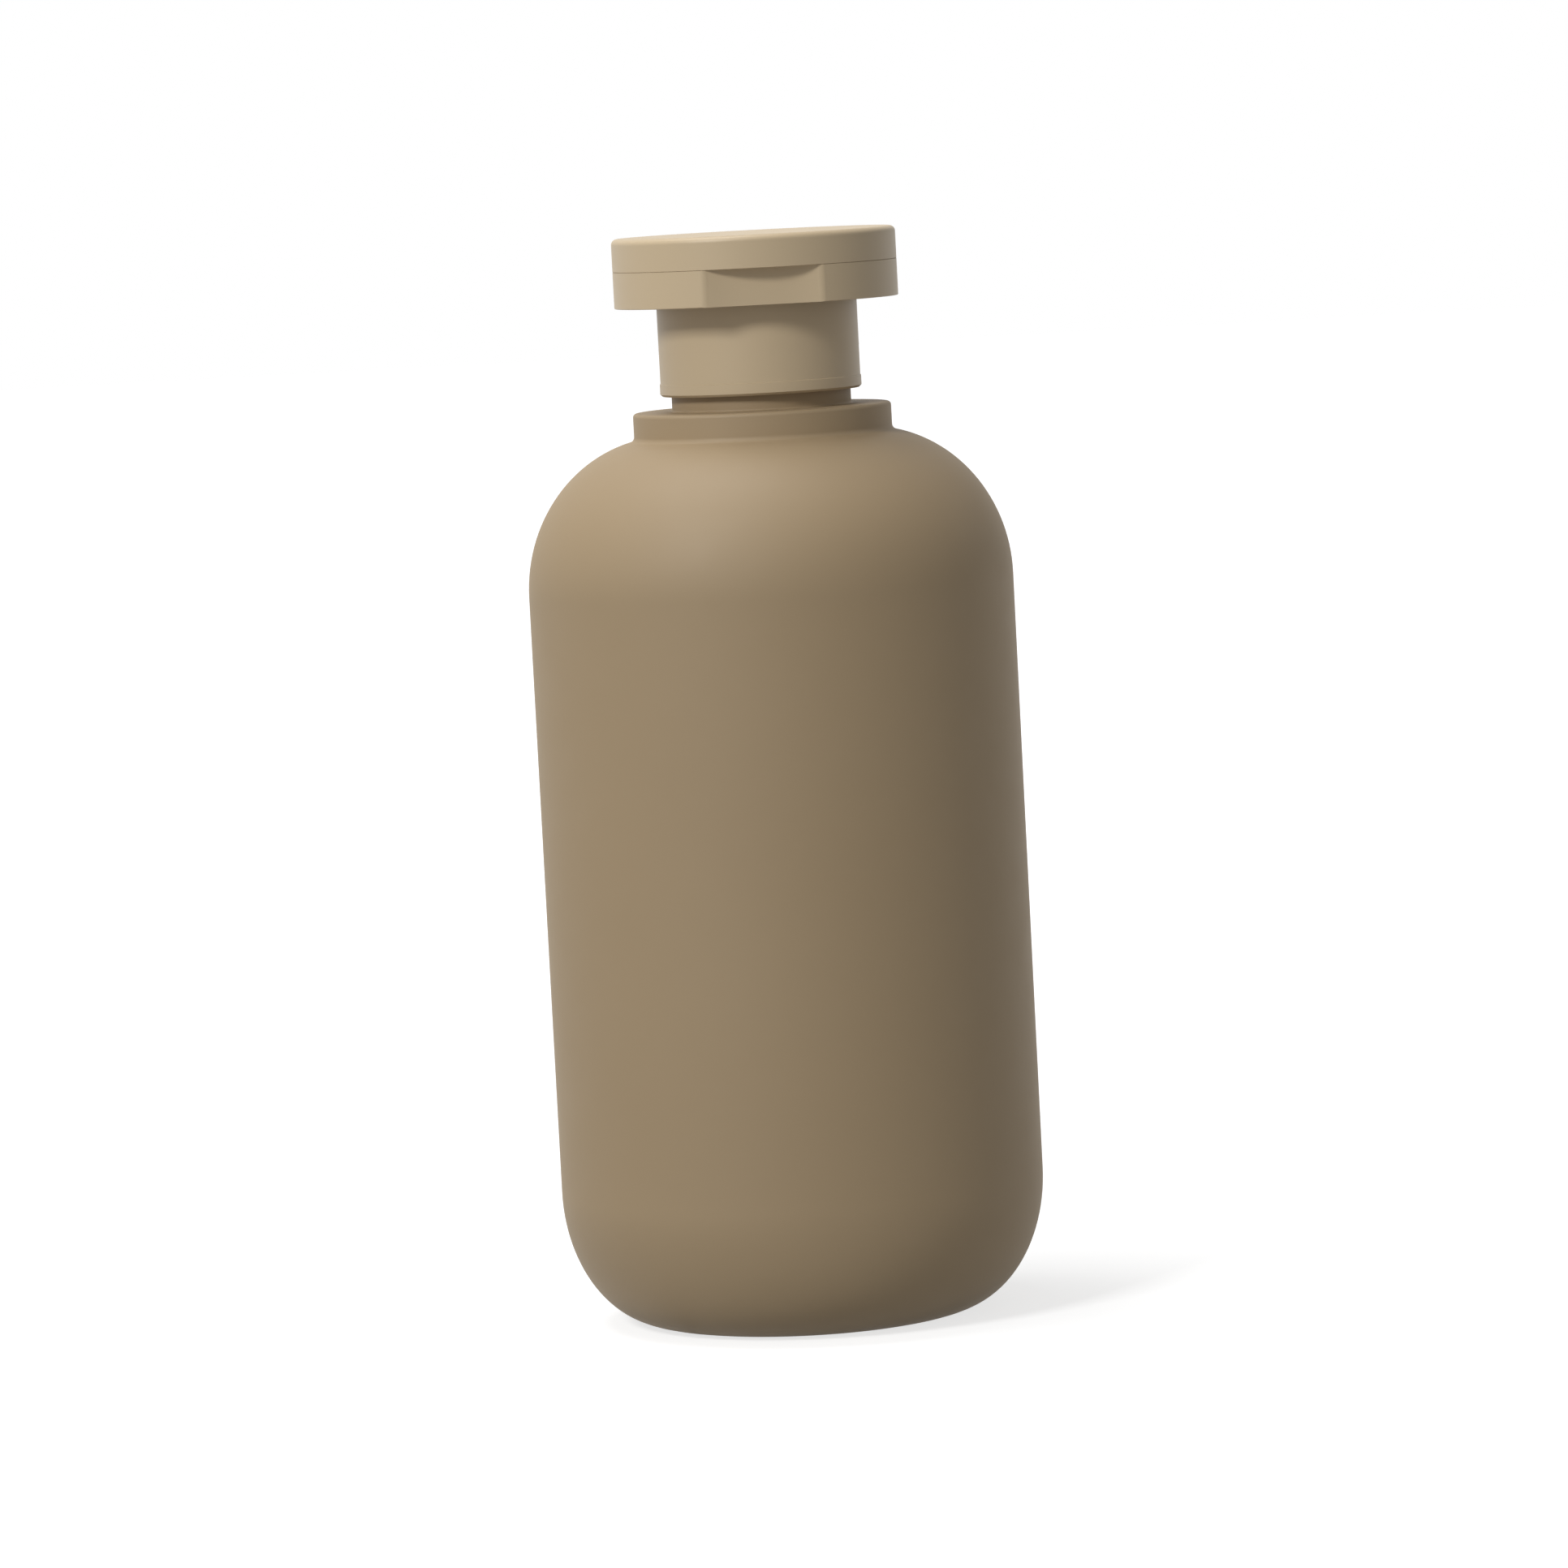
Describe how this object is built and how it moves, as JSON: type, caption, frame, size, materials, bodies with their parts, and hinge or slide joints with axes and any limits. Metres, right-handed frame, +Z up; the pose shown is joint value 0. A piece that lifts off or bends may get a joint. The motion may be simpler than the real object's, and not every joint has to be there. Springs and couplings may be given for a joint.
{
  "type": "squeeze bottle",
  "caption": "Round squeeze bottle with soft shoulders, a raised collar and a screw-on flip-top cap with a thumb recess.",
  "frame": {"origin": "middle of the flat ring that the bottle stands on, at the lowest point of the part", "axes": "+Z up along the axis of the bottle and cap, -Y towards the thumb recess, +Y towards the lid's hinge"},
  "size_m": [0.065, 0.065, 0.1458],
  "materials": {
    "bottle_shell": "matte, blow moulded",
    "cap_plastic": "satin, injection moulded",
    "liner_foam": "soft foamed sheet"
  },
  "bodies": {
    "bottle": {"bottle": "bottle_shell"},
    "liner": {"sealing_liner": "liner_foam"},
    "cap": {"cap_base": "cap_plastic"},
    "lid": {"lid": "cap_plastic"}
  },
  "joints": [
    {"name": "cap_lift", "type": "slide", "parent": "bottle", "child": "liner", "axis": [0, 0, 1], "range_m": [0, 0.00477]},
    {"name": "cap_turn", "type": "hinge", "parent": "liner", "child": "cap", "pos_m": [0, 0, 0.13], "axis": [0, 0, 1], "range_deg": [0, 540]},
    {"name": "lid_hinge", "type": "hinge", "parent": "cap", "child": "lid", "pos_m": [0, 0.01875, 0.14143], "axis": [-1, 0, 0], "range_deg": [0, 150]}
  ],
  "couplings": [
    {"joint": "cap_lift", "follows": "cap_turn", "m_per_rad": 0.00050532}
  ]
}
